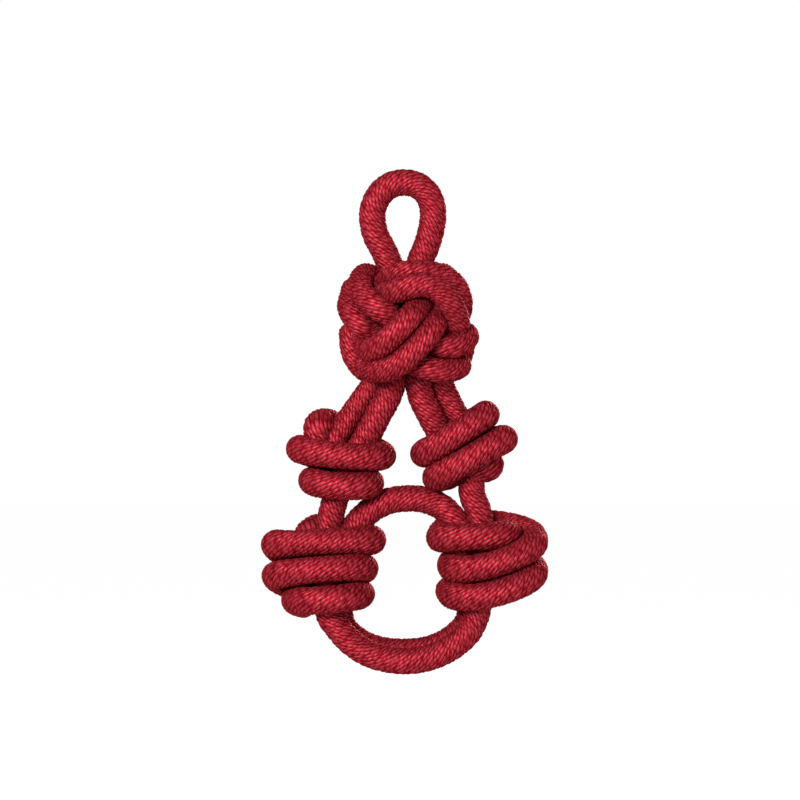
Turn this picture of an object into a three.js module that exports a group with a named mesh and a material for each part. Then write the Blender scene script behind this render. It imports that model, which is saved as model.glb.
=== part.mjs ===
import * as THREE from "three";

// Knotted cord charm. Millimetres, Z up, front towards -Y, origin at the inside crown of the hanging loop.

// Cord, the clearance between cords that touch, and the wider one where they are pulled tight in the knot.
// A tucked-away tail thins to a share of the cord over a length counted in cord diameters.
const CORD_DIAMETER = 5;
const CORD_GAP = 0.3;
const KNOT_GAP = 0.8;
const TAIL_SQUEEZE = 0.62;
const TAIL_LENGTH = 0.8;

// Free lengths between the knot and the windings
const LOOP_EYE_HEIGHT = 12.3;
const LEG_LENGTH = 10.6;
const NECK_LENGTH = 4.2;
const ARC_DROP = 11.3;

// Heights that the tied cord takes up, counted in cord diameters
const KNOT_RISE = 2.27;
const KNOT_FALL = 2.23;
const SMALL_WINDING_HEIGHT = 2.42;
const LARGE_WINDING_HEIGHT = 3.48;

// Colour of the satin cord
const CORD_COLOUR = 0x8d1d29;
const CORD_ROUGHNESS = 0.55;

const SIDES = 8;
const WINDING_SIDES = 6;
const STEPS_PER_TURN = 24;
const STEP_LENGTH = 2.6;

const cordRadius = (CORD_DIAMETER - CORD_GAP) / 2;
const knotRadius = (CORD_DIAMETER - KNOT_GAP) / 2;
const tailLength = TAIL_LENGTH * CORD_DIAMETER;

// Points that the stations of the charm are measured from
const eye = new THREE.Vector3(0, 0, 0);
const knot = new THREE.Vector3(0.11 * CORD_DIAMETER, 0, -LOOP_EYE_HEIGHT - KNOT_RISE * CORD_DIAMETER);
const skirt = new THREE.Vector3(0, 0, knot.z - KNOT_FALL * CORD_DIAMETER - LEG_LENGTH);
const ring = new THREE.Vector3(0, 0, skirt.z - SMALL_WINDING_HEIGHT * CORD_DIAMETER - NECK_LENGTH);
const arc = new THREE.Vector3(0, 0, ring.z - LARGE_WINDING_HEIGHT * CORD_DIAMETER);

const group = new THREE.Group();
group.name = "knotted_cord_charm";

function from(station, points) {
  return points.map(([x, y, z]) => new THREE.Vector3(x, y, z).multiplyScalar(CORD_DIAMETER).add(station));
}

// Points along a free length: across counted in cord diameters, up or down in shares of the length
function along(station, length, points) {
  return points.map(([x, y, share]) => {
    return new THREE.Vector3(x * CORD_DIAMETER, y * CORD_DIAMETER, station.z + share * length);
  });
}

function behind(points) {
  return points.map(([x, y, z]) => [-x, -y, z]);
}

// Solid cord along a route: rings of points, rounded at both ends, thinner where a tail is tucked away.
function cordSolid(route, radius, sides, steps, tails) {
  const centres = route.getSpacedPoints(steps);
  const frames = route.computeFrenetFrames(steps, false);
  const length = route.getLength();
  const rings = [];
  const thickness = (distance) => {
    const start = tails.start ? Math.min(1, distance / tailLength) : 1;
    const end = tails.end ? Math.min(1, (length - distance) / tailLength) : 1;
    return radius * (TAIL_SQUEEZE + (1 - TAIL_SQUEEZE) * Math.min(start, end));
  };
  const addRing = (index, ahead, size) => {
    const centre = centres[index].clone().addScaledVector(frames.tangents[index], ahead);
    rings.push({ centre, normal: frames.normals[index], binormal: frames.binormals[index], size });
  };
  const capAngles = [30, 65].map(THREE.MathUtils.degToRad);
  const startSize = thickness(0);
  const endSize = thickness(length);
  capAngles.forEach((a) => addRing(0, -startSize * Math.cos(a), startSize * Math.sin(a)));
  centres.forEach((centre, index) => addRing(index, 0, thickness((length * index) / steps)));
  capAngles.toReversed().forEach((a) => addRing(steps, endSize * Math.cos(a), endSize * Math.sin(a)));
  const points = [];
  for (const { centre, normal, binormal, size } of rings) {
    for (let side = 0; side < sides; side += 1) {
      const a = (2 * Math.PI * side) / sides;
      const across = normal.clone().multiplyScalar(Math.cos(a)).addScaledVector(binormal, Math.sin(a));
      points.push(centre.clone().addScaledVector(across, size));
    }
  }
  const first = points.length;
  points.push(centres[0].clone().addScaledVector(frames.tangents[0], -startSize));
  points.push(centres[steps].clone().addScaledVector(frames.tangents[steps], endSize));
  const faces = [];
  for (let side = 0; side < sides; side += 1) {
    const next = (side + 1) % sides;
    faces.push(first, next, side);
    for (let row = 0; row < rings.length - 1; row += 1) {
      const here = row * sides;
      const above = here + sides;
      faces.push(here + side, here + next, above + next);
      faces.push(here + side, above + next, above + side);
    }
    const last = (rings.length - 1) * sides;
    faces.push(first + 1, last + side, last + next);
  }
  const geometry = new THREE.BufferGeometry().setFromPoints(points);
  geometry.setIndex(faces);
  geometry.computeVertexNormals();
  return geometry;
}

function addPiece(name, geometry) {
  const material = new THREE.MeshStandardMaterial({ color: CORD_COLOUR, roughness: CORD_ROUGHNESS });
  material.metalness = 0;
  material.name = "satin_cord";
  const mesh = new THREE.Mesh(geometry, material);
  mesh.name = name;
  group.add(mesh);
}

function addCord(name, points, radius = cordRadius, tails = {}) {
  const route = new THREE.CatmullRomCurve3(points);
  const steps = Math.max(6, Math.round(route.getLength() / STEP_LENGTH));
  addPiece(name, cordSolid(route, radius, SIDES, steps, tails));
}

// Hanging loop, its two feet resting on the crown of the knot
const LOOP_LEFT_SIDE = [[-0.86, 0, 0.785], [-1.08, 0, 0.614], [-1.19, 0, 0.431], [-1.21, 0, 0.244]];
const LOOP_CROWN = [
  [-1.08, 0, -0.19], [-0.85, 0, 0.15], [-0.51, 0, 0.4], [-0.02, 0, 0.5], [0.47, 0, 0.4], [0.83, 0, 0.11],
];
const LOOP_RIGHT_SIDE = [
  [1.02, 0, 0.106], [1.08, 0, 0.276], [1.04, 0, 0.459], [0.93, 0, 0.646], [0.81, 0, 0.793],
];
addCord("hanging_loop", [
  ...from(knot, [[-0.77, 0, 2.38]]),
  ...along(eye, -LOOP_EYE_HEIGHT, LOOP_LEFT_SIDE),
  ...from(eye, LOOP_CROWN),
  ...along(eye, -LOOP_EYE_HEIGHT, LOOP_RIGHT_SIDE),
  ...from(knot, [[0.51, 0, 2.34]]),
]);

// Ball knot: six passes seen from the front and the same six on the far side, half a turn round
const KNOT_PASSES = {
  crown_outer: [
    [-1.8, -0.44, -1.7], [-1.98, -0.52, -1.36], [-2.1, -0.48, -0.94], [-2.06, -0.32, -0.45], [-1.68, -0.04, 0.15],
    [-1.27, 0.04, 0.76], [-0.89, -0.28, 1.32], [-0.43, -0.88, 1.64], [0.09, -1.24, 1.78], [0.62, -1.28, 1.78],
    [1.12, -1.16, 1.63], [1.57, -0.96, 1.32], [1.87, -0.8, 0.91], [1.95, -0.68, 0.45],
  ],
  crown_inner: [
    [-0.93, -0.96, 0.91], [-0.7, -1.44, 1.02], [-0.36, -1.96, 1.15], [0.09, -2.28, 1.29], [0.59, -2.32, 1.32],
    [1.08, -2.2, 1.17], [1.49, -2, 0.79], [1.76, -1.68, 0.34], [1.87, -1.28, -0.08],
  ],
  fall_upper: [
    [-1.57, -0.08, 1.78], [-1.76, -0.64, 1.51], [-1.76, -1.16, 1.13], [-1.57, -1.56, 0.79], [-1.23, -1.84, 0.45],
    [-0.81, -1.76, 0.15], [-0.32, -1.36, -0.19], [0.21, -1.24, -0.53], [0.74, -1.18, -0.83], [1.23, -1.38, -0.95],
    [1.72, -1.32, -0.95], [2.1, -0.9, -0.76], [2.21, -0.54, -0.68],
  ],
  fall_lower: [
    [-2.06, 0.04, 1.25], [-2.2, -0.26, 0.9], [-2.28, -0.7, 0.5], [-2.06, -1.12, 0.11], [-1.72, -1.24, -0.19],
    [-1.3, -1.04, -0.45], [-0.81, -0.92, -0.81], [-0.25, -1.02, -1.27], [0.28, -1.32, -1.63], [0.81, -1.52, -1.81],
    [1.3, -1.4, -1.89], [1.76, -0.92, -1.81], [1.95, -0.36, -1.7],
  ],
  rise_upper: [
    [-1.49, -1.44, -1.12], [-1.3, -1.76, -1.12], [-1, -2.12, -0.95], [-0.62, -2.4, -0.64], [-0.25, -2.48, -0.28],
    [0.09, -2.32, 0.11], [0.34, -1.84, 0.42], [0.59, -1.28, 0.68],
  ],
  rise_lower: [
    [-1.42, -1.24, -1.81], [-1.19, -1.6, -1.89], [-0.85, -1.92, -1.86], [-0.4, -2.2, -1.7], [0.02, -2.36, -1.36],
    [0.42, -2.36, -0.96], [0.78, -2.2, -0.53], [0.98, -1.88, -0.2], [1.12, -1.28, 0.08],
  ],
  core: [[-0.47, 0, 0.34], [-0.55, 0, -0.53], [-0.62, 0, -1.53]],
};
for (const [name, points] of Object.entries(KNOT_PASSES)) {
  addCord(`knot_${name}_front`, from(knot, points), knotRadius, { start: true, end: true });
  addCord(`knot_${name}_rear`, from(knot, behind(points)), knotRadius, { start: true, end: true });
}

// Four strands below the knot; two of them run on through the small windings as the necks.
// Each has its top under the knot, a free stretch and the stretch held in the winding.
const LEG_LEFT_OUTER = {
  top: [[-1.66, 0, -2.42]],
  free: [[-1.85, 0, 0.64], [-2.14, 0, 0.41]],
  held: [[-2.38, 0, 0.42], [-2.64, 0, -0.06], [-2.86, 0, -0.4]],
};
const LEG_LEFT_INNER = {
  top: [[-0.52, 0, -2.32]],
  free: [[-0.66, 0, 0.64], [-0.98, 0, 0.41]],
  held: [
    [-1.19, 0, 0.42], [-1.46, 0, -0.08], [-1.78, 0, -0.6], [-2.1, 0, -1.21], [-2.4, 0, -1.85], [-2.62, 0, -2.42],
  ],
};
const LEG_RIGHT_INNER = {
  top: [[0.45, 0, -2.32]],
  free: [[0.74, 0, 0.66], [0.93, 0, 0.46]],
  held: [[1.12, 0, 0.53], [1.34, 0, 0.11], [1.52, 0, -0.3], [1.6, 0, -0.55]],
};
const LEG_RIGHT_OUTER = {
  top: [[1.54, 0, -2.42]],
  free: [[1.87, 0, 0.64], [2.04, 0, 0.48]],
  held: [[2.23, 0, 0.6], [2.46, 0, 0.08], [2.67, 0, -0.45], [2.65, 0, -1.0], [2.55, 0, -1.6], [2.56, 0, -2.2]],
};
function legPoints({ top, free, held }) {
  return [...from(knot, top), ...along(skirt, LEG_LENGTH, free), ...from(skirt, held)];
}
addCord("leg_left_outer", legPoints(LEG_LEFT_OUTER));
addCord("leg_left_inner_and_neck", [...legPoints(LEG_LEFT_INNER), ...from(ring, [[-2.82, 0, 0.1]])]);
addCord("leg_right_inner", legPoints(LEG_RIGHT_INNER));
addCord("leg_right_outer_and_neck", [
  ...legPoints(LEG_RIGHT_OUTER), ...from(ring, [[2.8, 0, 0.45], [2.9, 0, 0.1]]),
]);

// A winding descends with its front passes going from right to left. Each turn lists the ends (x, z) of its
// front pass, the depth and sag of that pass, then the depth and lift of the rear pass on to the next turn.
function windingPoints(station, winding) {
  const { turns, lead, tail } = winding;
  const points = [];
  const halfPass = (start, end, depth, lift, firstAngle = 0, lastAngle = Math.PI) => {
    const steps = STEPS_PER_TURN / 2;
    for (let step = 0; step < steps; step += 1) {
      const a = (Math.PI * step) / steps;
      if (a >= firstAngle && a <= lastAngle) {
        const share = (1 - Math.cos(a)) / 2;
        const z = start[1] + (end[1] - start[1]) * share + lift * Math.sin(a) ** 2;
        points.push([start[0] + (end[0] - start[0]) * share, depth * Math.sin(a) ** 0.8, z]);
      }
    }
  };
  if (lead) {
    halfPass(lead.left, turns[0].right, lead.depth, lead.lift, lead.angle);
  }
  turns.forEach((turn, index) => {
    halfPass(turn.right, turn.left, -turn.front, -turn.sag);
    if (index < turns.length - 1) {
      halfPass(turn.left, turns[index + 1].right, turn.rear, turn.lift);
    }
  });
  halfPass(turns.at(-1).left, tail.right, tail.depth, 0, 0, tail.angle);
  const vectors = from(station, points);
  const straightRun = (tip, next, length) => tip.clone().sub(next).setLength(length * CORD_DIAMETER).add(tip);
  const start = lead ? [straightRun(vectors[0], vectors[1], winding.runIn)] : [];
  const end = straightRun(vectors.at(-1), vectors.at(-2), winding.runOut);
  return [...start, ...vectors, end];
}

// Least distance from the winding to itself, leaving out neighbours along the same stretch of cord
function leastSelfGap(route, radius, turns) {
  const samples = turns * STEPS_PER_TURN * 4;
  const points = route.getSpacedPoints(samples);
  const spacing = route.getLength() / samples;
  const skip = Math.ceil((3.2 * 2 * radius) / spacing);
  let least = Infinity;
  for (let i = 0; i < points.length; i += 1) {
    for (let j = i + skip; j < points.length; j += 1) {
      least = Math.min(least, points[i].distanceTo(points[j]) - 2 * radius);
    }
  }
  return least;
}

function addWinding(name, station, winding) {
  const route = new THREE.CatmullRomCurve3(windingPoints(station, winding));
  const turns = winding.turns.length + 0.5;
  const least = leastSelfGap(route, cordRadius, turns);
  console.log(`${name}: least gap between turns ${least.toFixed(2)} mm`);
  addPiece(name, cordSolid(route, cordRadius, WINDING_SIDES, Math.round(turns * STEPS_PER_TURN), {}));
}

const SMALL_WINDING_LEFT = {
  lead: { left: [-3.4, 0.3], depth: 1.12, lift: 0.1, angle: 0.9 },
  turns: [
    { right: [-0.72, -0.79], left: [-4.02, -0.55], front: 1.1, sag: 0, rear: 1.1, lift: 0 },
    { right: [-1.2, -1.74], left: [-3.55, -1.72], front: 1.12, sag: 0.12 },
  ],
  tail: { right: [-1.6, -3.7], depth: 1.1, angle: 0.65 },
  runIn: 0.94,
  runOut: 0.45,
};
addWinding("small_winding_left", skirt, SMALL_WINDING_LEFT);

const SMALL_WINDING_RIGHT = {
  lead: { left: [0.35, 0.26], depth: 1.1, lift: 0.2, angle: 1.2 },
  turns: [
    { right: [3.27, 0.84], left: [0.53, -0.64], front: 1.1, sag: 0, rear: 1.1, lift: 0 },
    { right: [3.84, -0.12], left: [1.08, -1.58], front: 1.1, sag: 0 },
  ],
  tail: { right: [3.5, -1.38], depth: 1.1, angle: 2.3 },
  runIn: 0.94,
  runOut: 0.94,
};
addWinding("small_winding_right", skirt, SMALL_WINDING_RIGHT);

const LARGE_WINDING_LEFT = {
  lead: { left: [-4.2, -0.05], depth: 1.1, lift: 0.05, angle: 1.2 },
  turns: [
    { right: [-1.17, -0.68], left: [-4.95, -0.87], front: 1.07, sag: 0, rear: 1.4, lift: 0 },
    { right: [-1.4, -1.76], left: [-4.92, -2.0], front: 1.45, sag: 0, rear: 1.67, lift: 0 },
    { right: [-1.54, -2.8], left: [-4.24, -3.06], front: 1.58, sag: 0 },
  ],
  tail: { right: [-1.7, -4.4], depth: 1.67, angle: 1.3 },
  runIn: 0.94,
  runOut: 0.94,
};
addWinding("large_winding_left", ring, LARGE_WINDING_LEFT);

const LARGE_WINDING_RIGHT = {
  turns: [
    { right: [3.84, -0.53], left: [1.27, -0.57], front: 1.07, sag: 0, rear: 1.15, lift: 0.95 },
    { right: [5.0, -0.85], left: [1.64, -1.66], front: 1.45, sag: 0.22, rear: 1.58, lift: 0 },
    { right: [5.0, -1.95], left: [1.56, -2.76], front: 1.58, sag: 0.26 },
  ],
  tail: { right: [4.9, -3.4], depth: 1.75, angle: 1.3 },
  runOut: 0.94,
};
addWinding("large_winding_right", ring, LARGE_WINDING_RIGHT);

// Ring: upper arc, rear cord of the lower arc and, in front of it, the neck cord carried round underneath
const UPPER_ARC_LEFT_END = [[-1.98, -0.06, -0.45], [-1.88, 0, -0.06]];
const UPPER_ARC = [
  [-1.58, 0.1, 0.32], [-1.08, 0.16, 0.6], [-0.52, 0.18, 0.83], [-0.02, 0.18, 0.9], [0.58, 0.18, 0.89],
  [1.08, 0.16, 0.76], [1.53, 0.06, 0.52], [1.86, -0.06, 0.19],
];
const UPPER_ARC_RIGHT_END = [[2.02, -0.12, -0.12]];
const upperArcPoints = [
  ...from(ring, UPPER_ARC_LEFT_END), ...along(ring, NECK_LENGTH, UPPER_ARC), ...from(ring, UPPER_ARC_RIGHT_END),
];
addCord("ring_upper_arc", upperArcPoints, cordRadius, { start: true, end: true });

const FRONT_CORD_LEFT = [[-2.92, 0, -0.95], [-2.97, -0.3, -1.6], [-2.97, -0.5, -2.2], [-2.95, -0.54, -2.8]];
const FRONT_CORD_RIGHT = [[2.84, -0.54, -2.8], [2.95, -0.5, -2.2], [3, -0.3, -1.6], [2.94, 0, -0.98]];
const FRONT_ARC = [
  [-2.82, -0.54, 0.025], [-2.61, -0.54, 0.158], [-2.38, -0.54, 0.292], [-2.11, -0.54, 0.42], [-1.76, -0.54, 0.545],
  [-1.26, -0.54, 0.665], [-0.64, -0.54, 0.742], [-0.02, -0.54, 0.769], [0.6, -0.54, 0.745], [1.22, -0.54, 0.665],
  [1.72, -0.54, 0.553], [2.1, -0.54, 0.428], [2.4, -0.54, 0.293], [2.57, -0.54, 0.16], [2.7, -0.54, 0.025],
];
const REAR_CORD_LEFT = [[-2.6, 0.54, -1.85], [-2.6, 0.54, -2.3], [-2.52, 0.54, -2.9]];
const REAR_CORD_RIGHT = [[2.7, 0.54, -2.9], [2.78, 0.54, -2.3], [2.74, 0.54, -1.85]];
const REAR_ARC = [
  [-2.44, 0.54, 0.02], [-2.38, 0.54, 0.158], [-2.2, 0.54, 0.285], [-1.92, 0.54, 0.4], [-1.48, 0.54, 0.52],
  [-0.8, 0.54, 0.615], [-0.02, 0.54, 0.64], [0.8, 0.54, 0.605], [1.52, 0.54, 0.49], [2.02, 0.54, 0.335],
  [2.38, 0.54, 0.19], [2.57, 0.54, 0.05],
];
addCord("lower_arc_front", [
  ...from(ring, FRONT_CORD_LEFT), ...along(arc, -ARC_DROP, FRONT_ARC), ...from(ring, FRONT_CORD_RIGHT),
]);
const rearArcPoints = [
  ...from(ring, REAR_CORD_LEFT), ...along(arc, -ARC_DROP, REAR_ARC), ...from(ring, REAR_CORD_RIGHT),
];
addCord("ring_lower_arc_rear", rearArcPoints, cordRadius, { start: true, end: true });

export default group;
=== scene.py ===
"""Knotted cord charm: twisted satin cord tied into a loop, a ball knot, wound strands and a wound ring."""

import math

import bmesh
import bpy
from bpy.props import FloatProperty, FloatVectorProperty, IntProperty, PointerProperty
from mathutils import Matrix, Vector


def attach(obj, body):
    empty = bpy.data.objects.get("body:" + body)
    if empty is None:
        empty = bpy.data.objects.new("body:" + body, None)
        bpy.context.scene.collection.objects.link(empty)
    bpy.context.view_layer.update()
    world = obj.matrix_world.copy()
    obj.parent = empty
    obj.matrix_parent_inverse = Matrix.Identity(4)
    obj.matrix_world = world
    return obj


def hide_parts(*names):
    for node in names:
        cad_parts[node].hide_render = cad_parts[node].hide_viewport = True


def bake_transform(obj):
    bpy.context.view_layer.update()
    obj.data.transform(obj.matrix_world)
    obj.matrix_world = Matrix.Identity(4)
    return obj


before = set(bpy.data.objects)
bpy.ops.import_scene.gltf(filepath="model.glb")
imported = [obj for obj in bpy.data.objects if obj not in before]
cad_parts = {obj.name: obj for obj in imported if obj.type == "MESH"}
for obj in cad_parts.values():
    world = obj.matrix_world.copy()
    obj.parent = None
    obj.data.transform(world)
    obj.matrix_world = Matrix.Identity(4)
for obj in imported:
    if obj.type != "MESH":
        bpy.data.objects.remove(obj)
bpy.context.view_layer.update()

bl_info = {
    "name": "Knotted Cord Charm",
    "version": (1, 0, 0),
    "blender": (4, 5, 0),
    "location": "View3D > Sidebar > Cord Charm",
    "description": "Builds a hanging charm tied from twisted satin cord",
    "category": "Object",
}

# Routes are listed in cord diameters about these stations, with the front towards -Y.
CORD = 0.005
EYE = Vector((0.0, 0.0, 0.0))
KNOT = Vector((0.00055, 0.0, -0.02365))
SKIRT = Vector((0.0, 0.0, -0.0454))
RING = Vector((0.0, 0.0, -0.0617))
ARC = Vector((0.0, 0.0, -0.0791))
LOOP_EYE_HEIGHT = 0.0123
LEG_LENGTH = 0.0106
NECK_LENGTH = 0.0042
ARC_DROP = 0.0113


def linear(hex_value):
    """Linear colour, with alpha, of an sRGB hex value such as 0x8D1D29."""
    channels = [(hex_value >> shift & 255) / 255 for shift in (16, 8, 0)]
    return [c / 12.92 if c <= 0.04045 else ((c + 0.055) / 1.055) ** 2.4 for c in channels] + [1.0]


# Sizes and colours that a user would change


class CordCharmCord(bpy.types.PropertyGroup):
    """Make of the cord."""

    diameter: FloatProperty(
        name="Cord diameter", description="Thickness over the yarns", default=0.00516, unit="LENGTH")
    winding_diameter: FloatProperty(
        name="Cord diameter in the windings", description="Thickness where the turns press together",
        default=0.0051, unit="LENGTH")
    arc_diameter: FloatProperty(
        name="Cord diameter in the upper arc", description="Thickness of the arc across the ring",
        default=0.00515, unit="LENGTH")
    leg_diameter: FloatProperty(
        name="Cord diameter in the outer legs", description="Thickness where the cord is drawn tight",
        default=0.0046, unit="LENGTH")
    knot_diameter: FloatProperty(
        name="Cord diameter in the knot", description="Thickness where the cord is pulled tight",
        default=0.00475, unit="LENGTH")
    yarns: IntProperty(name="Yarns", description="Yarns laid round the cord", default=18)
    lay: FloatProperty(
        name="Lay length", description="Length in which a yarn goes once round", default=0.0215,
        unit="LENGTH")
    relief: FloatProperty(
        name="Yarn relief", description="Depth of the valleys between yarns", default=0.00015,
        unit="LENGTH")
    grain_step: FloatProperty(
        name="Grain spacing", description="Distance along the cord between rows of grains", default=0.00098,
        unit="LENGTH")
    grain_relief: FloatProperty(
        name="Grain relief", description="Depth of the valleys between grains", default=0.00018,
        unit="LENGTH")
    step: FloatProperty(
        name="Ring spacing", description="Distance between the rings of the mesh", default=0.00022,
        unit="LENGTH")


class CordCharmLook(bpy.types.PropertyGroup):
    """Colours of the dyed cord, of the shade and highlight painted on it, and of the stage."""

    dye: FloatVectorProperty(
        name="Dye", description="Main colour of the yarn", subtype="COLOR", size=4,
        default=linear(0x80121D))
    # Painted shade: the darker colour laid into the valleys between yarns and grains, where shade falls.
    deep_dye: FloatVectorProperty(
        name="Deep dye", description="Colour between the yarns", subtype="COLOR", size=4,
        default=linear(0x48040B))
    # Painted highlight: the lighter colour laid on filaments along the crowns of yarns and grains.
    light_dye: FloatVectorProperty(
        name="Light dye", description="Colour of the filaments that catch light", subtype="COLOR", size=4,
        default=linear(0x9E343F))
    backdrop: FloatVectorProperty(
        name="Backdrop", description="Colour of the floor", subtype="COLOR", size=4,
        default=linear(0xF4F4F2))


# Routes


def about(station, points):
    """Points in cord diameters about a station."""
    return [station + CORD * Vector(p) for p in points]


def along(station, length, points):
    """Points across in cord diameters, up or down in shares of a free length."""
    return [Vector((x * CORD, y * CORD, station.z + share * length)) for x, y, share in points]


def behind(points):
    """The same points on the far side, half a turn round."""
    return [(-x, -y, z) for x, y, z in points]


SPAN_STEPS = 24
LEAST_ROUTE_STEPS = 4


def smooth_line(points):
    """A fine line that bends smoothly through the points."""
    ends = [2 * points[0] - points[1]] + points + [2 * points[-1] - points[-2]]
    line = []
    for before, start, end, after in zip(ends, ends[1:], ends[2:], ends[3:]):
        knots = [0.0]
        for a, b in ((before, start), (start, end), (end, after)):
            knots.append(knots[-1] + math.sqrt((b - a).length))
        t0, t1, t2, t3 = knots
        for i in range(SPAN_STEPS):
            t = t1 + (t2 - t1) * i / SPAN_STEPS
            a = before.lerp(start, (t - t0) / (t1 - t0))
            b = start.lerp(end, (t - t1) / (t2 - t1))
            c = end.lerp(after, (t - t2) / (t3 - t2))
            early = a.lerp(b, (t - t0) / (t2 - t0))
            late = b.lerp(c, (t - t1) / (t3 - t1))
            line.append(early.lerp(late, (t - t1) / (t2 - t1)))
    return line + [points[-1]]


def smooth_route(points, step):
    """Evenly spaced points, about a step apart, on a smooth line through the given ones."""
    line = smooth_line(points)
    distance = [0.0]
    for a, b in zip(line, line[1:]):
        distance.append(distance[-1] + (b - a).length)
    count = max(LEAST_ROUTE_STEPS, round(distance[-1] / step))
    route = []
    k = 0
    for i in range(count + 1):
        wanted = distance[-1] * i / count
        while k < len(line) - 2 and distance[k + 1] < wanted:
            k += 1
        share = (wanted - distance[k]) / (distance[k + 1] - distance[k])
        route.append(line[k].lerp(line[k + 1], share))
    return route


def route_length(route):
    """Length along a route."""
    return sum((b - a).length for a, b in zip(route, route[1:]))


# Cord

# Places of the profile's points across a yarn, from one valley to the next
YARN_LOBE = (-1.0, -0.72, -0.26, 0.26, 0.72)
# Threads of grains that wind round the cord side by side
GRAIN_ROWS = 3
# How far a yarn's grains stray from their rows, as a share of a row, over what length they stray and come
# back, and how far the next yarn is out of step with it
GRAIN_DRIFT = 0.42
GRAIN_DRIFT_LENGTH = 0.0061
GRAIN_DRIFT_SHIFT = 2.4
# Rings to either side over which a bend is measured, and the bend that swells nothing, in radians over one
# diameter
SWELL_REACH = 8
EASY_BEND = 0.45
MERGE_DISTANCE = 1e-7


def yarn_profile(diameter, cord):
    """Cross-section of the cord: one rounded lobe for each yarn, with a sharp valley between them."""
    curve = bpy.data.curves.new("yarn_profile", "CURVE")
    curve.dimensions = "2D"
    spline = curve.splines.new("POLY")
    spline.points.add(cord.yarns * len(YARN_LOBE) - 1)
    spline.use_cyclic_u = True
    for yarn in range(cord.yarns):
        for i, across in enumerate(YARN_LOBE):
            angle = -2 * math.pi * (yarn + (across + 1) / 2) / cord.yarns
            radius = diameter / 2 - cord.relief * (1 - math.sqrt(1 - across * across))
            point = (radius * math.cos(angle), radius * math.sin(angle), 0, 1)
            spline.points[yarn * len(YARN_LOBE) + i].co = point
    profile = bpy.data.objects.new("yarn_profile", curve)
    bpy.context.scene.collection.objects.link(profile)
    return profile


def grain_hollow(distance, around, cord):
    """Depth below the crown of the yarn and below the crown of the grain: 0 on the crown, 1 in the valley.

    Each yarn is two plies twisted back, so it swells and narrows in grains, which line up in rows round the
    cord."""
    turns = around * cord.yarns
    across = 2 * (turns % 1) - 1
    wave = 2 * math.pi * distance / GRAIN_DRIFT_LENGTH + GRAIN_DRIFT_SHIFT * math.floor(turns)
    drift = GRAIN_DRIFT * math.sin(wave)
    rows = distance * (1 / cord.grain_step - GRAIN_ROWS / cord.lay) + GRAIN_ROWS * around + drift
    lengthwise = 2 * (rows % 1) - 1
    return across * across, lengthwise * lengthwise


def bend_swell(route, diameter, swell):
    """Thickness at each point of a route, as a share of the diameter: a sharp bend makes the cord swell."""
    shares = [1.0] * len(route)
    for i in range(SWELL_REACH, len(route) - SWELL_REACH):
        before = route[i] - route[i - SWELL_REACH]
        after = route[i + SWELL_REACH] - route[i]
        bend = before.angle(after) / before.length * diameter
        shares[i] = 1 + swell * max(0.0, bend - EASY_BEND)
    return shares


def swept_mesh(name, route, diameter, swell):
    """The yarn profile swept along a route and turned by the lay, as a mesh with closed ends."""
    cord = bpy.context.scene.cord_charm_cord
    shares = bend_swell(route, diameter, swell)
    profile = yarn_profile(diameter, cord)
    curve = bpy.data.curves.new(name, "CURVE")
    curve.dimensions = "3D"
    curve.twist_mode = "MINIMUM"
    curve.bevel_mode = "OBJECT"
    curve.bevel_object = profile
    curve.use_fill_caps = True
    spline = curve.splines.new("POLY")
    spline.points.add(len(route) - 1)
    turn = 2 * math.pi / cord.lay * route_length(route) / (len(route) - 1)
    for i, place in enumerate(route):
        spline.points[i].co = (*place, 1)
        spline.points[i].tilt = -turn * i
        spline.points[i].radius = shares[i]
    line = bpy.data.objects.new(name + "_line", curve)
    bpy.context.scene.collection.objects.link(line)
    bpy.context.view_layer.update()
    mesh = bpy.data.meshes.new_from_object(line.evaluated_get(bpy.context.evaluated_depsgraph_get()))
    mesh.name = name
    for thing in (line, profile):
        data = thing.data
        bpy.data.objects.remove(thing)
        bpy.data.curves.remove(data)
    return mesh


def press_grains(mesh, route, diameter):
    """Maps the surface of a cord and presses in the valleys between its grains.

    One map has real sizes, metres round the cord and metres along it. The other holds the hollows."""
    cord = bpy.context.scene.cord_charm_cord
    length = route_length(route)
    form = bmesh.new()
    form.from_mesh(mesh)
    bmesh.ops.remove_doubles(form, verts=form.verts, dist=MERGE_DISTANCE)
    bmesh.ops.recalc_face_normals(form, faces=form.faces)
    sizes = form.loops.layers.uv["UVMap"]
    hollows = form.loops.layers.uv.new("hollows")
    inward = {}
    for face in form.faces:
        face.smooth = True
        for loop in face.loops:
            share, around = loop[sizes].uv
            hollow = grain_hollow(share * length, around, cord)
            loop[hollows].uv = hollow
            loop[sizes].uv = (around * math.pi * diameter, share * length)
            if len(face.verts) == 4:
                inward[loop.vert] = (route[round(share * (len(route) - 1))], cord.grain_relief * hollow[1])
    for vert, (centre, depth) in inward.items():
        vert.co -= (vert.co - centre).normalized() * depth
    form.to_mesh(mesh)
    form.free()


def twisted_cord(name, points, diameter=None, swell=0.0):
    """A cord laid along the points, its yarns twisted round it, as one closed mesh, with its route."""
    cord = bpy.context.scene.cord_charm_cord
    diameter = diameter or cord.diameter
    route = smooth_route(points, cord.step)
    mesh = swept_mesh(name, route, diameter, swell)
    press_grains(mesh, route, diameter)
    piece = bpy.data.objects.new(name, mesh)
    bpy.context.scene.collection.objects.link(piece)
    piece.data.materials.clear()
    piece.data.materials.append(satin_cord())
    return piece, route


# Materials

# Bundles of filaments are drawn this wide and long, coarser than the real 0.02 mm so that they show.
FILAMENT_WIDTH = 0.00032
FILAMENT_RUN = 0.0014
FILAMENT_RELIEF = 0.00011
# Share of the yarn's own slant that the filaments keep: they lie nearly along the cord.
FILAMENT_SLANT = 0.5
# How strongly filaments lighten the painted shade of a valley that they lie across
FILAMENT_BRIDGING = 1.8
# Width of the patches over which the dye takes unevenly
DYE_PATCH = 0.002
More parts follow.
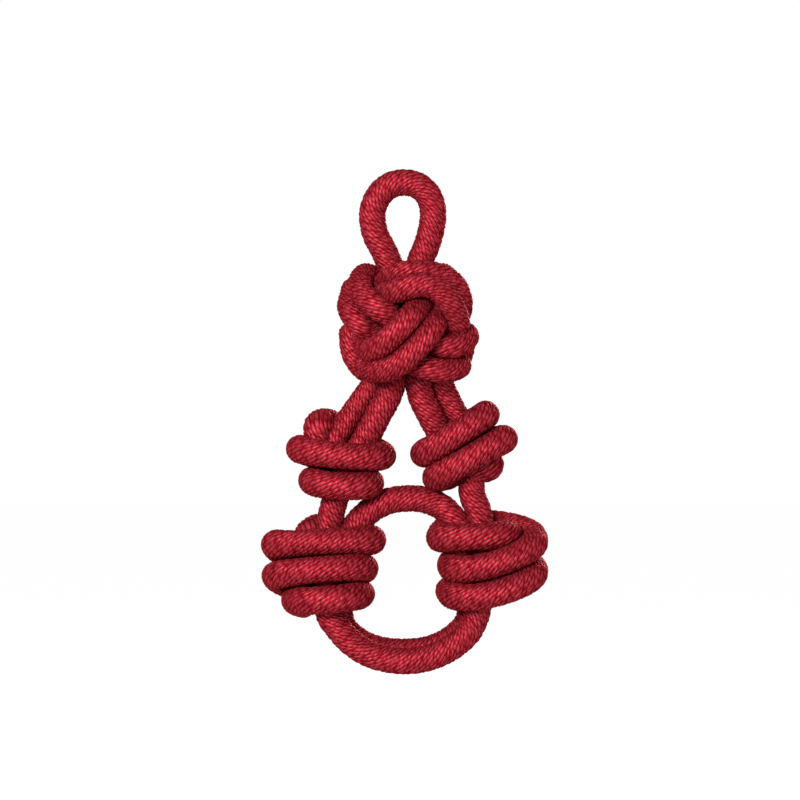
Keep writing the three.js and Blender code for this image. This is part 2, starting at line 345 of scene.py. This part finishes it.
# Light that has gone through dyed filaments comes back red, so much of the gloss has the yarn's colour.
COLOURED_GLOSS = 0.55
GLOSS_TINT = 0xB04050


def add_node(tree, kind, settings=None, **inputs):
    """Adds a node with its settings. An input, by name or as i and its number, is a value or its source."""
    node = tree.nodes.new(kind)
    for key, value in (settings or {}).items():
        setattr(node, key, value)
    for key, value in inputs.items():
        numbered = key[0] == "i" and key[1:].isdigit()
        socket = node.inputs[int(key[1:]) if numbered else key.replace("_", " ")]
        if isinstance(value, bpy.types.NodeSocket):
            tree.links.new(value, socket)
        else:
            socket.default_value = value
    return node


def satin_cord():
    """Rayon satin yarn, dyed deep red, laid into a cord.

    Smooth filaments give each yarn a broad soft glint along its crown, partly real gloss and partly painted
    highlight, fine lines along the filaments, and painted shade down in the valleys."""
    name = "rayon_satin_cord"
    if name in bpy.data.materials:
        return bpy.data.materials[name]
    cord = bpy.context.scene.cord_charm_cord
    look = bpy.context.scene.cord_charm_look
    material = bpy.data.materials.new(name)
    material.use_nodes = True
    tree = material.node_tree
    tree.nodes.clear()
    where = add_node(tree, "ShaderNodeUVMap", {"uv_map": "UVMap"})
    split = add_node(tree, "ShaderNodeSeparateXYZ", Vector=where.outputs[0])
    lay_slope = math.pi * cord.diameter / cord.lay
    slant = add_node(tree, "ShaderNodeMath", {"operation": "MULTIPLY_ADD"},
                     i0=split.outputs["Y"], i1=FILAMENT_SLANT * lay_slope, i2=split.outputs["X"])
    across = add_node(tree, "ShaderNodeMath", {"operation": "MULTIPLY"},
                      i0=slant.outputs[0], i1=1 / FILAMENT_WIDTH)
    lengthwise = add_node(tree, "ShaderNodeMath", {"operation": "MULTIPLY"},
                          i0=split.outputs["Y"], i1=1 / FILAMENT_RUN)
    spot = add_node(tree, "ShaderNodeCombineXYZ", X=across.outputs[0], Y=lengthwise.outputs[0])
    filaments = add_node(tree, "ShaderNodeTexNoise", {"noise_dimensions": "2D"},
                         Vector=spot.outputs[0], Scale=1.0, Detail=2.0, Roughness=0.6)
    place = add_node(tree, "ShaderNodeTexCoord")
    patches = add_node(tree, "ShaderNodeTexNoise",
                       Vector=place.outputs["Object"], Scale=1 / DYE_PATCH, Detail=3.0)
    # 1 on the crowns of the yarns and of the grains, and less down in the valleys between them.
    # It places the painted highlight on the crowns and the painted shade in the valleys.
    sunk = add_node(tree, "ShaderNodeUVMap", {"uv_map": "hollows"})
    sunk_split = add_node(tree, "ShaderNodeSeparateXYZ", Vector=sunk.outputs[0])
    crown = add_node(tree, "ShaderNodeMapRange", {"interpolation_type": "SMOOTHSTEP"},
                     Value=sunk_split.outputs["X"], From_Min=1.0, From_Max=0.15, To_Min=0.42)
    grains = add_node(tree, "ShaderNodeMapRange", {"interpolation_type": "SMOOTHSTEP"},
                      Value=sunk_split.outputs["Y"], From_Min=1.0, From_Max=0.1, To_Min=0.5)
    outward = add_node(tree, "ShaderNodeMath", {"operation": "MULTIPLY"},
                       i0=crown.outputs[0], i1=grains.outputs[0])
    bright = add_node(tree, "ShaderNodeMath", {"operation": "MULTIPLY"},
                      i0=filaments.outputs["Fac"], i1=outward.outputs[0])
    tone = add_node(tree, "ShaderNodeMapRange", Value=bright.outputs[0], From_Min=0.28, From_Max=0.62)
    # Painted highlight: filaments on the crowns take the lighter highlight colour.
    lit = add_node(tree, "ShaderNodeMix", {"data_type": "RGBA"},
                   i0=tone.outputs[0], i6=look.dye, i7=look.light_dye)
    # Painted shade darkens the valleys, but filaments that lie across a valley break it up,
    # so no valley is dark all along.
    bridged = add_node(tree, "ShaderNodeMath", {"operation": "MULTIPLY_ADD"},
                       i0=filaments.outputs["Fac"], i1=FILAMENT_BRIDGING, i2=outward.outputs[0])
    depth = add_node(tree, "ShaderNodeMapRange", Value=bridged.outputs[0], From_Min=0.8, From_Max=1.75)
    deep = add_node(tree, "ShaderNodeMix", {"data_type": "RGBA"},
                    i0=depth.outputs[0], i6=look.deep_dye, i7=lit.outputs[2])
    # The colour, with its painted shade and painted highlight, made uneven in patches of dye.
    patch_tone = add_node(tree, "ShaderNodeMapRange",
                          Value=patches.outputs["Fac"], To_Min=0.76, To_Max=1.24)
    dyed = add_node(tree, "ShaderNodeVectorMath", {"operation": "SCALE"},
                    i0=deep.outputs[2], Scale=patch_tone.outputs[0])
    gloss = add_node(tree, "ShaderNodeMapRange",
                     Value=bright.outputs[0], From_Max=0.5, To_Min=0.6, To_Max=0.48)
    relief = add_node(tree, "ShaderNodeBump",
                      Strength=1.0, Distance=FILAMENT_RELIEF, Height=filaments.outputs["Fac"])
    shader = add_node(tree, "ShaderNodeBsdfPrincipled",
                      Base_Color=dyed.outputs[0], Roughness=gloss.outputs[0], Normal=relief.outputs[0],
                      Metallic=COLOURED_GLOSS, Specular_IOR_Level=0.01, Specular_Tint=linear(GLOSS_TINT))
    add_node(tree, "ShaderNodeOutputMaterial", Surface=shader.outputs[0])
    return material


def background_rays(tree):
    """Output that is 1 where the background is seen, direct, mirrored or through glass, and 0 elsewhere."""
    rays = add_node(tree, "ShaderNodeLightPath")
    seen = add_node(tree, "ShaderNodeMath", {"operation": "MAXIMUM"},
                    i0=rays.outputs["Is Camera Ray"], i1=rays.outputs["Is Glossy Ray"])
    seen_through = add_node(tree, "ShaderNodeMath", {"operation": "MAXIMUM"},
                            i0=seen.outputs[0], i1=rays.outputs["Is Transmission Ray"])
    return seen_through.outputs[0]


PAPER_GLOW_SHARE = 0.9
PAPER_GLOW = 1.1


def paper_floor():
    """Matt white backdrop paper, seen as plain white with a faint shadow."""
    look = bpy.context.scene.cord_charm_look
    material = bpy.data.materials.new("backdrop_paper")
    material.use_nodes = True
    tree = material.node_tree
    tree.nodes.clear()
    share = add_node(tree, "ShaderNodeMath", {"operation": "MULTIPLY"},
                     i0=background_rays(tree), i1=PAPER_GLOW_SHARE)
    paper = add_node(tree, "ShaderNodeBsdfDiffuse", Color=look.backdrop)
    glow = add_node(tree, "ShaderNodeEmission", Color=(1, 1, 1, 1), Strength=PAPER_GLOW)
    mixed = add_node(tree, "ShaderNodeMixShader",
                     i0=share.outputs[0], i1=paper.outputs[0], i2=glow.outputs[0])
    add_node(tree, "ShaderNodeOutputMaterial", Surface=mixed.outputs[0])
    return material


# Hanging loop

LOOP_LEFT_ROOT = [(-0.3, 0, 1.15), (-0.42, 0, 1.55), (-0.6, 0, 1.98), (-0.77, 0, 2.38)]
LOOP_LEFT_SIDE = [(-0.86, 0, 0.785), (-1.08, 0, 0.614), (-1.19, 0, 0.431), (-1.21, 0, 0.244)]
LOOP_CROWN = [
    (-1.08, 0, -0.19), (-0.85, 0, 0.15), (-0.51, 0, 0.4), (-0.02, 0, 0.5), (0.47, 0, 0.4), (0.83, 0, 0.11)]
LOOP_RIGHT_SIDE = [(1.02, 0, 0.106), (1.08, 0, 0.276), (1.04, 0, 0.459), (0.93, 0, 0.646), (0.81, 0, 0.793)]
LOOP_RIGHT_ROOT = [(0.51, 0, 2.34), (0.4, 0, 1.95), (0.3, 0, 1.55), (0.24, 0, 1.15)]


class CORDCHARM_OT_hanging_loop(bpy.types.Operator):
    """Lays the hanging loop, its two ends running down into the knot."""

    bl_idname = "cord_charm.hanging_loop"
    bl_label = "Hanging Loop"

    def execute(self, context):
        points = about(KNOT, LOOP_LEFT_ROOT) + along(EYE, -LOOP_EYE_HEIGHT, LOOP_LEFT_SIDE)
        points += about(EYE, LOOP_CROWN) + along(EYE, -LOOP_EYE_HEIGHT, LOOP_RIGHT_SIDE)
        points += about(KNOT, LOOP_RIGHT_ROOT)
        piece, route = twisted_cord("hanging_loop_cord", points)
        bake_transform(piece)
        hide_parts("hanging_loop")
        return {"FINISHED"}


# Ball knot: what shows from the front, and the same half a turn round at the back

CROWN_OUTER = [
    (-1.4, 0.1, -1.98), (-1.74, 0.0, -1.7), (-1.98, -0.06, -1.36), (-2.1, -0.08, -0.94),
    (-2.06, -0.08, -0.45), (-1.68, -0.04, 0.15), (-1.27, 0.04, 0.76), (-0.89, -0.36, 1.34),
    (-0.43, -1.06, 1.68), (0.09, -1.4, 1.8), (0.62, -1.42, 1.8), (1.2, -1.28, 1.67),
    (1.71, -1.06, 1.37), (1.96, -0.84, 0.92), (1.99, -0.66, 0.45), (1.8, -0.7, 0.0), (1.5, -0.6, -0.4)]
CROWN_INNER = [
    (-1.0, -0.45, 0.7), (-0.93, -0.96, 0.91), (-0.7, -1.44, 0.98), (-0.36, -1.96, 1.08),
    (0.09, -2.28, 1.24), (0.59, -2.32, 1.32), (1.08, -2.2, 1.17), (1.49, -2.0, 0.79),
    (1.76, -1.68, 0.34), (1.87, -1.28, -0.08), (1.7, -0.85, -0.4), (1.35, -0.5, -0.6)]
FALL_UPPER = [
    (-1.57, -0.08, 1.72), (-1.76, -0.64, 1.49), (-1.76, -1.16, 1.13), (-1.54, -1.56, 0.82),
    (-1.18, -1.84, 0.5), (-0.74, -1.78, 0.22), (-0.27, -1.4, -0.13), (0.21, -1.24, -0.53),
    (0.74, -1.18, -0.83), (1.23, -1.38, -0.95), (1.72, -1.32, -0.95), (2.14, -0.9, -0.74),
    (2.24, -0.5, -0.6)]
FALL_LOWER = [
    (-2.0, 0.04, 1.22), (-2.12, -0.26, 0.88), (-2.19, -0.7, 0.5), (-2.0, -1.12, 0.11),
    (-1.72, -1.24, -0.19), (-1.3, -1.04, -0.45), (-0.81, -0.92, -0.81), (-0.25, -1.02, -1.27),
    (0.28, -1.32, -1.63), (0.81, -1.52, -1.81), (1.3, -1.4, -1.89), (1.76, -0.92, -1.81),
    (1.95, -0.36, -1.7)]
RISE_UPPER = [
    (-1.43, -1.4, -1.12), (-1.24, -1.76, -1.12), (-0.97, -2.12, -0.95), (-0.62, -2.4, -0.64),
    (-0.25, -2.48, -0.28), (0.09, -2.32, 0.11), (0.34, -1.84, 0.42), (0.59, -1.28, 0.68)]
RISE_LOWER = [
    (-1.36, -1.2, -1.81), (-1.14, -1.6, -1.89), (-0.83, -1.92, -1.86), (-0.4, -2.2, -1.7),
    (0.02, -2.36, -1.36), (0.42, -2.36, -0.96), (0.78, -2.2, -0.53), (0.98, -1.88, -0.2),
    (1.12, -1.28, 0.08)]
KNOT_CORE = [(-0.35, 0, 1.2), (-0.47, 0, 0.34), (-0.55, 0, -0.53), (-0.62, 0, -1.7)]

# The rear falls lie closer to the middle than the front ones, to stay out of sight from the front.
REAR_TUCK = 0.86

# Where a pass goes on out of sight: down under the crown before it, and round the side after it
UPPER_START = [(-0.75, 0.85, 0.95), (-1.15, 0.5, 1.5)]
UPPER_ROUND = [(2.14, -0.1, -0.5), (1.72, 0.3, -0.75), (1.45, 0.85, -1.05)]
UPPER_END = [(-0.75, 0.85, 0.95)]
LOWER_START = [(-1.2, 0.95, 0.5), (-1.6, 0.4, 1.05)]
LOWER_ROUND = [(1.72, 0.05, -1.72), (1.35, 0.5, -1.78)]
LOWER_END = [(-1.2, 0.95, 0.5)]


class CORDCHARM_OT_ball_knot(bpy.types.Operator):
    """Weaves the ball knot: doubled passes over and under each other, front and rear alike."""

    bl_idname = "cord_charm.ball_knot"
    bl_label = "Ball Knot"

    def execute(self, context):
        thick = context.scene.cord_charm_cord.knot_diameter
        for face, far in (("front", "rear"), ("rear", "front")):
            tuck = 1.0 if face == "front" else REAR_TUCK
            fall_upper = [(x * tuck, y, z) for x, y, z in FALL_UPPER]
            fall_lower = [(x * tuck, y, z) for x, y, z in FALL_LOWER]
            routes = {
                "crown_outer": (CROWN_OUTER, ["crown_outer_{0}"]),
                "crown_inner": (CROWN_INNER, ["crown_inner_{0}"]),
                "upper_strand": (
                    UPPER_START + fall_upper + UPPER_ROUND + behind(RISE_UPPER) + UPPER_END,
                    ["fall_upper_{0}", "rise_upper_{1}"]),
                "lower_strand": (
                    LOWER_START + fall_lower + LOWER_ROUND + behind(RISE_LOWER) + LOWER_END,
                    ["fall_lower_{0}", "rise_lower_{1}"]),
                "core": (KNOT_CORE, ["core_{0}"]),
            }
            for name, (points, nodes) in routes.items():
                placed = about(KNOT, points if face == "front" else behind(points))
                piece, _ = twisted_cord(f"knot_{name}_{face}_cord", placed, thick)
                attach(piece, "knot")
                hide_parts(*["knot_" + node.format(face, far) for node in nodes])
        return {"FINISHED"}


# Legs below the knot, and the two necks that run on through the small windings

LEGS = {
    "left_outer": {
        "root": [(-1.15, 0.05, -1.55), (-1.28, 0.12, -2.0), (-1.35, 0.18, -2.42)],
        "free": [(-1.62, 0.26, 0.64), (-1.97, 0.28, 0.41)],
        "held": [(-2.28, 0.2, 0.42), (-2.62, 0.05, -0.06), (-2.8, 0, -0.5), (-2.9, 0, -1.0)],
        "node": "leg_left_outer",
    },
    "left_inner": {
        "root": [(-0.4, -0.1, -1.5), (-0.46, -0.12, -1.9), (-0.54, -0.2, -2.32)],
        "free": [(-0.67, -0.26, 0.64), (-0.95, -0.26, 0.41)],
        "held": [
            (-1.17, -0.22, 0.42), (-1.44, -0.1, -0.08), (-1.78, 0, -0.6), (-2.1, 0, -1.21),
            (-2.3, 0, -1.6)],
        "node": "leg_left_inner_and_neck",
    },
    "right_inner": {
        "root": [(0.38, -0.1, -1.5), (0.41, -0.12, -1.9), (0.4, -0.2, -2.32)],
        "free": [(0.66, -0.22, 0.66), (0.87, -0.22, 0.46)],
        "held": [
            (1.1, -0.18, 0.53), (1.33, -0.1, 0.11), (1.52, 0, -0.3), (1.65, 0, -0.75), (1.75, 0, -1.2)],
        "node": "leg_right_inner",
    },
    "right_outer": {
        "root": [(1.05, 0.1, -1.55), (1.24, 0.12, -2.0), (1.33, 0.18, -2.42)],
        "free": [(1.69, 0.24, 0.64), (1.86, 0.24, 0.48)],
        "held": [
            (2.08, 0.18, 0.6), (2.38, 0.05, 0.08), (2.64, 0, -0.45), (2.66, 0, -1.0), (2.58, 0, -1.4)],
        "node": "leg_right_outer_and_neck",
    },
}
NECKS = {
    "left": {
        "held": [(-1.95, 0, -0.9), (-2.1, 0, -1.21), (-2.4, 0, -1.85), (-2.62, 0, -2.42)],
        "foot": [(-2.78, 0, 0.25), (-2.88, 0, -0.35), (-2.92, 0, -0.95), (-2.95, -0.2, -1.4)],
        "node": "leg_left_inner_and_neck",
    },
    "right": {
        "held": [(2.67, 0, -0.6), (2.65, 0, -1.0), (2.55, 0, -1.6), (2.56, 0, -2.2)],
        "foot": [(2.78, 0, 0.45), (2.88, 0, 0.0), (2.92, 0, -0.5), (2.94, 0, -0.98), (3.0, -0.2, -1.4)],
        "node": "leg_right_outer_and_neck",
    },
}


class CORDCHARM_OT_legs(bpy.types.Operator):
    """Lays the four strands below the knot and the two necks above the ring."""

    bl_idname = "cord_charm.legs"
    bl_label = "Legs and Necks"

    def execute(self, context):
        cord = context.scene.cord_charm_cord
        for name, leg in LEGS.items():
            thick = cord.leg_diameter if name.endswith("outer") else cord.diameter
            points = about(KNOT, leg["root"]) + along(SKIRT, LEG_LENGTH, leg["free"])
            points += about(SKIRT, leg["held"])
            piece, _ = twisted_cord(f"leg_{name}_cord", points, thick)
            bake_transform(piece)
            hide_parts(leg["node"])
        for name, neck in NECKS.items():
            points = about(SKIRT, neck["held"]) + about(RING, neck["foot"])
            piece, _ = twisted_cord(f"neck_{name}_cord", points)
            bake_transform(piece)
            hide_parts(neck["node"])
        return {"FINISHED"}


# Windings

# They descend with the front passes going from right to left. A front pass is its right and left end
# (x, z), its depth and its sag. A rear pass joins it to the next one, and is its depth and its lift.
SMALL_WINDINGS = {
    "left": {
        "start": [
            (-3.26, -0.1, -0.75), (-3.3, -0.12, -0.1), (-3.24, 0.0, 0.36), (-3.04, 0.4, 0.52),
            (-2.65, 0.85, 0.4), (-2.1, 1.12, 0.0), (-1.4, 0.95, -0.42), (-0.97, 0.5, -0.65)],
        "front": [((-0.84, -0.73), (-3.96, -0.48), 1.1, 0.12), ((-1.28, -1.77), (-3.5, -1.67), 1.12, 0.16)],
        "rear": [(1.1, 0.0)],
        "end": [
            (-3.5, 0.0, -1.67), (-3.45, 0.5, -1.72), (-3.2, 0.9, -1.74), (-2.9, 0.95, -1.55),
            (-2.75, 0.7, -1.3)],
    },
    "right": {
        "start": [
            (1.15, 0.8, 0.08), (1.5, 1.1, 0.15), (2.0, 1.12, 0.3), (2.5, 0.95, 0.48), (2.9, 0.5, 0.7)],
        "front": [((3.06, 0.8), (0.73, -0.67), 1.1, 0.0), ((3.77, -0.11), (1.18, -1.56), 1.1, 0.0)],
        "rear": [(1.1, 0.0)],
        "end": [
            (1.18, 0.0, -1.56), (1.25, 0.6, -1.6), (1.65, 1.05, -1.5), (2.3, 1.12, -1.25),
            (2.95, 0.9, -1.08), (3.2, 0.45, -1.03), (3.13, 0.05, -1.14), (2.85, -0.1, -1.22),
            (2.5, -0.1, -1.25)],
    },
}
LARGE_WINDINGS = {
    "left": {
        "start": [
            (-3.5, 0.0, -1.0), (-3.55, 0.2, -0.5), (-3.35, 0.7, -0.28), (-2.85, 1.05, -0.3),
            (-2.1, 1.12, -0.42), (-1.55, 0.8, -0.56), (-1.33, 0.4, -0.64)],
        "front": [
            ((-1.24, -0.67), (-4.89, -0.86), 1.07, -0.06),
            ((-1.49, -1.73), (-4.9, -2.03), 1.45, -0.14),
            ((-1.62, -2.7), (-4.16, -2.92), 1.58, 0.06)],
        "rear": [(1.4, -0.4), (1.67, -0.4)],
        "end": [
            (-4.16, 0.0, -2.92), (-4.1, 0.55, -2.98), (-3.9, 0.85, -2.92), (-3.7, 0.8, -2.65),
            (-3.65, 0.5, -2.4)],
    },
    "right": {
        "start": [(3.35, 0.6, -0.65), (3.74, 0.3, -0.5)],
        "front": [
            ((3.88, -0.48), (1.36, -0.58), 1.07, 0.0),
            ((4.92, -0.7), (1.73, -1.62), 1.45, 0.38),
            ((4.93, -1.82), (1.68, -2.58), 1.58, 0.46)],
        "rear": [(1.25, 0.58), (1.62, 0.34)],
        "end": [
            (1.68, 0.0, -2.58), (1.78, 0.7, -2.6), (2.15, 1.25, -2.5), (2.9, 1.55, -2.3),
            (3.6, 1.45, -2.15), (4.1, 1.0, -2.1), (4.15, 0.55, -2.15), (3.85, 0.25, -2.2)],
    },
}
HALF_TURN_STEPS = 12
# Below 1, a pass bulges more squarely than half an ellipse.
PASS_SQUARENESS = 0.8
# Share by which the cord swells for each radian that it bends over one diameter beyond an easy bend
SMALL_SWELL = 0.08
LARGE_SWELL = 0.16


def half_turn(start, end, depth, lift):
    """Points of one pass, from one end of a winding to the other, without the last."""
    points = []
    for step in range(HALF_TURN_STEPS):
        angle = math.pi * step / HALF_TURN_STEPS
        share = (1 - math.cos(angle)) / 2
        x = start[0] + (end[0] - start[0]) * share
        y = depth * math.sin(angle) ** PASS_SQUARENESS
        z = start[1] + (end[1] - start[1]) * share + lift * math.sin(angle)
        points.append((x, y, z))
    return points


def winding_points(winding):
    """Points round a winding, in cord diameters."""
    points = list(winding["start"])
    for i, (right, left, depth, sag) in enumerate(winding["front"]):
        points += half_turn(right, left, -depth, -sag)
        if i < len(winding["rear"]):
            next_right = winding["front"][i + 1][0]
            points += half_turn(left, next_right, *winding["rear"][i])
    return points + winding["end"]


class CORDCHARM_OT_small_windings(bpy.types.Operator):
    """Winds the small turns that hold each pair of legs together."""

    bl_idname = "cord_charm.small_windings"
    bl_label = "Small Windings"

    def execute(self, context):
        for side, winding in SMALL_WINDINGS.items():
            points = about(SKIRT, winding_points(winding))
            piece, _ = twisted_cord(f"small_winding_{side}_cord", points, swell=SMALL_SWELL)
            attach(piece, "skirt")
            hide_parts(f"small_winding_{side}")
        return {"FINISHED"}


class CORDCHARM_OT_large_windings(bpy.types.Operator):
    """Winds the large turns round both sides of the ring."""

    bl_idname = "cord_charm.large_windings"
    bl_label = "Large Windings"

    def execute(self, context):
        thick = context.scene.cord_charm_cord.winding_diameter
        for side, winding in LARGE_WINDINGS.items():
            points = about(RING, winding_points(winding))
            piece, _ = twisted_cord(f"large_winding_{side}_cord", points, thick, LARGE_SWELL)
            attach(piece, "ring")
            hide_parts(f"large_winding_{side}")
        return {"FINISHED"}


# Ring

UPPER_ARC_LEFT_END = [
    (-2.1, 0, -2.3), (-2.12, -0.05, -1.7), (-2.12, -0.1, -1.1), (-2.05, -0.06, -0.7), (-1.95, 0, -0.38)]
UPPER_ARC = [
    (-1.757, 0.05, 0.0), (-1.493, 0.1, 0.32), (-1.21, 0.14, 0.6), (-0.926, 0.16, 0.786),
    (-0.548, 0.18, 0.965), (-0.02, 0.18, 1.055), (0.586, 0.18, 1.04), (1.077, 0.16, 0.876),
    (1.455, 0.08, 0.645), (1.72, 0.0, 0.34), (1.946, -0.06, -0.02)]
UPPER_ARC_RIGHT_END = [(2.08, -0.1, -0.42), (2.14, -0.1, -1.0), (2.16, -0.05, -1.6), (2.18, 0, -2.2)]
FRONT_CORD_LEFT = [(-2.92, 0, -0.95), (-2.97, -0.3, -1.6), (-2.97, -0.5, -2.2), (-2.95, -0.54, -2.8)]
FRONT_CORD_RIGHT = [(2.84, -0.54, -2.8), (2.95, -0.5, -2.2), (3.0, -0.3, -1.6), (2.94, 0, -0.98)]
FRONT_ARC = [
    (-2.82, -0.54, 0.025), (-2.61, -0.54, 0.158), (-2.38, -0.54, 0.292), (-2.11, -0.54, 0.42),
    (-1.76, -0.54, 0.545), (-1.26, -0.54, 0.665), (-0.64, -0.54, 0.742), (-0.02, -0.54, 0.769),
    (0.6, -0.54, 0.745), (1.22, -0.54, 0.665), (1.72, -0.54, 0.553), (2.1, -0.54, 0.428),
    (2.4, -0.54, 0.293), (2.57, -0.54, 0.16), (2.7, -0.54, 0.025)]
REAR_CORD_LEFT = [(-2.6, 0.54, -1.85), (-2.6, 0.54, -2.3), (-2.52, 0.54, -2.9)]
REAR_CORD_RIGHT = [(2.52, 0.54, -2.9), (2.62, 0.54, -2.3), (2.7, 0.54, -1.85)]
REAR_ARC = [
    (-2.44, 0.54, 0.02), (-2.38, 0.54, 0.158), (-2.2, 0.54, 0.285), (-1.92, 0.54, 0.4),
    (-1.48, 0.54, 0.52), (-0.8, 0.54, 0.615), (-0.02, 0.54, 0.64), (0.8, 0.54, 0.605),
    (1.52, 0.54, 0.49), (2.02, 0.54, 0.335), (2.32, 0.54, 0.19), (2.46, 0.54, 0.05)]


class CORDCHARM_OT_ring(bpy.types.Operator):
    """Lays the ring: its upper arc and the two cords of its lower arc."""

    bl_idname = "cord_charm.ring"
    bl_label = "Ring"

    def execute(self, context):
        upper = about(RING, UPPER_ARC_LEFT_END) + along(RING, NECK_LENGTH, UPPER_ARC)
        upper += about(RING, UPPER_ARC_RIGHT_END)
        front = about(RING, FRONT_CORD_LEFT) + along(ARC, -ARC_DROP, FRONT_ARC)
        front += about(RING, FRONT_CORD_RIGHT)
        rear = about(RING, REAR_CORD_LEFT) + along(ARC, -ARC_DROP, REAR_ARC)
        rear += about(RING, REAR_CORD_RIGHT)
        arcs = {"ring_upper_arc": upper, "lower_arc_front": front, "ring_lower_arc_rear": rear}
        cord = context.scene.cord_charm_cord
        for node, points in arcs.items():
            thick = cord.arc_diameter if node == "ring_upper_arc" else cord.diameter
            piece, route = twisted_cord(node + "_cord", points, thick)
            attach(piece, "ring")
            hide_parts(node)
        return {"FINISHED"}


# Stage

PICTURE_WIDTH = 0.1512
PICTURE_CENTRE = Vector((-0.00085, 0.0, -0.0386))
CAMERA_DISTANCE = 0.9
SENSOR_WIDTH = 36.0
FLOOR_HEIGHT = -0.125
FLOOR_REACH = 3.0
SURROUNDING_LIGHT = 0.012
# Place, width and power in watts
LAMPS = {
    "key": ((-0.28, -0.81, 0.2), 0.26, 11.7),
    "fill": ((0.5, -0.3, -0.02), 0.15, 0.4),
    "back": ((0.3, 0.78, 0.15), 0.25, 6.5),
}


def add_floor(scene):
    """Lays the backdrop paper below the charm."""
    form = bmesh.new()
    bmesh.ops.create_grid(form, x_segments=1, y_segments=1, size=FLOOR_REACH)
    bmesh.ops.translate(form, verts=form.verts, vec=(0, 0, FLOOR_HEIGHT))
    mesh = bpy.data.meshes.new("floor")
    form.to_mesh(mesh)
    form.free()
    mesh.materials.append(paper_floor())
    floor = bpy.data.objects.new("floor", mesh)
    scene.collection.objects.link(floor)


def add_lamps(scene):
    """Sets the lamps, each aimed at the middle of the picture."""
    for name, (place, size, power) in LAMPS.items():
        lamp = bpy.data.lights.new(name + "_lamp", "AREA")
        lamp.size = size
        lamp.energy = power
        lamp_object = bpy.data.objects.new(name + "_lamp", lamp)
        lamp_object.location = place
        aim = PICTURE_CENTRE - Vector(place)
        lamp_object.rotation_euler = aim.to_track_quat("-Z", "Y").to_euler()
        scene.collection.objects.link(lamp_object)


def set_surroundings(scene):
    """Makes the surroundings look white, but light the charm only a little."""
    world = bpy.data.worlds.new("white_surroundings")
    world.use_nodes = True
    tree = world.node_tree
    tree.nodes.clear()
    strength = add_node(tree, "ShaderNodeMapRange",
                        Value=background_rays(tree), To_Min=SURROUNDING_LIGHT, To_Max=1.0)
    glow = add_node(tree, "ShaderNodeBackground", Color=(1, 1, 1, 1), Strength=strength.outputs[0])
    add_node(tree, "ShaderNodeOutputWorld", Surface=glow.outputs[0])
    scene.world = world


def set_camera(scene):
    """Looks at the charm from the front through a long lens."""
    camera = bpy.data.cameras.new("camera")
    camera.sensor_width = SENSOR_WIDTH
    camera.lens = SENSOR_WIDTH * CAMERA_DISTANCE / PICTURE_WIDTH
    camera_object = bpy.data.objects.new("camera", camera)
    camera_object.location = PICTURE_CENTRE - Vector((0, CAMERA_DISTANCE, 0))
    camera_object.rotation_euler = (math.pi / 2, 0, 0)
    scene.collection.objects.link(camera_object)
    scene.camera = camera_object


class CORDCHARM_OT_stage(bpy.types.Operator):
    """Sets the floor, the soft studio lamps, the white surroundings and the camera."""

    bl_idname = "cord_charm.stage"
    bl_label = "Stage"

    def execute(self, context):
        scene = context.scene
        scene.view_settings.view_transform = "Standard"
        add_floor(scene)
        add_lamps(scene)
        set_surroundings(scene)
        set_camera(scene)
        return {"FINISHED"}


class CORDCHARM_PT_panel(bpy.types.Panel):
    """Lists the settings and the pieces of the charm."""

    bl_idname = "CORDCHARM_PT_panel"
    bl_label = "Knotted Cord Charm"
    bl_space_type = "VIEW_3D"
    bl_region_type = "UI"
    bl_category = "Cord Charm"

    def draw(self, context):
        for group in (context.scene.cord_charm_cord, context.scene.cord_charm_look):
            box = self.layout.box()
            for name in group.__annotations__:
                box.prop(group, name)
        for operator in OPERATORS:
            self.layout.operator(operator.bl_idname)


OPERATORS = (
    CORDCHARM_OT_stage,
    CORDCHARM_OT_hanging_loop,
    CORDCHARM_OT_ball_knot,
    CORDCHARM_OT_legs,
    CORDCHARM_OT_small_windings,
    CORDCHARM_OT_large_windings,
    CORDCHARM_OT_ring,
)
CLASSES = (CordCharmCord, CordCharmLook, *OPERATORS, CORDCHARM_PT_panel)


def register():
    for item in CLASSES:
        bpy.utils.register_class(item)
    bpy.types.Scene.cord_charm_cord = PointerProperty(type=CordCharmCord)
    bpy.types.Scene.cord_charm_look = PointerProperty(type=CordCharmLook)


def unregister():
    del bpy.types.Scene.cord_charm_look
    del bpy.types.Scene.cord_charm_cord
    for item in reversed(CLASSES):
        bpy.utils.unregister_class(item)


def main():
    register()
    bpy.ops.cord_charm.stage()
    bpy.ops.cord_charm.hanging_loop()
    bpy.ops.cord_charm.ball_knot()
    bpy.ops.cord_charm.legs()
    bpy.ops.cord_charm.small_windings()
    bpy.ops.cord_charm.large_windings()
    bpy.ops.cord_charm.ring()


if __name__ == "__main__":
    main()
